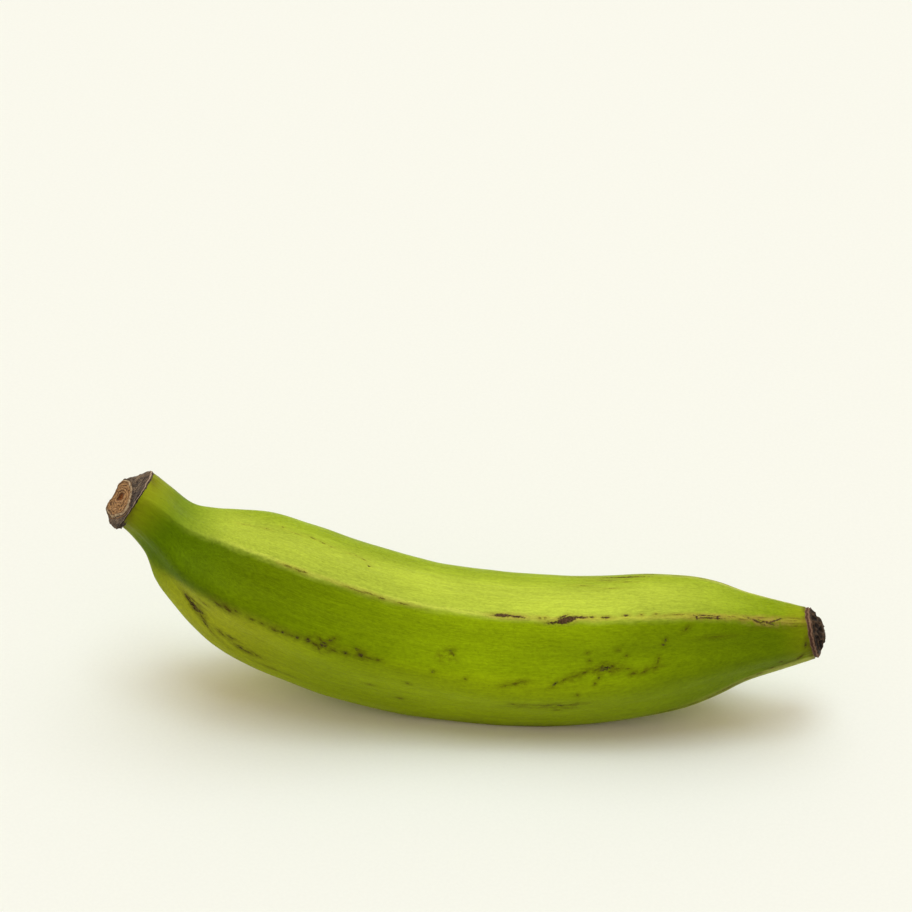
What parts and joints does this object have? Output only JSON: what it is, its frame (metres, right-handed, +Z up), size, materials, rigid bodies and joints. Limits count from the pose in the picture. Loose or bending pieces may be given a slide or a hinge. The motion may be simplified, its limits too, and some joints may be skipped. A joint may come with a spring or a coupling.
{
  "type": "plantain",
  "caption": "Green plantain, cut from its hand: curved angular fruit with a slim neck, a dried cut stalk and a dried blossom scar, lying on its belly.",
  "frame": {"origin": "middle of the bounding box's bottom, on the surface that the fruit rests on", "axes": "+X along the fruit from the cut stalk to the blossom scar, +Y across it to the side it leans to, +Z up"},
  "size_m": [0.241, 0.0484, 0.0783],
  "materials": {
    "peel": "satin waxy peel"
  },
  "bodies": {
    "root": {"plantain": "peel"}
  },
  "joints": []
}
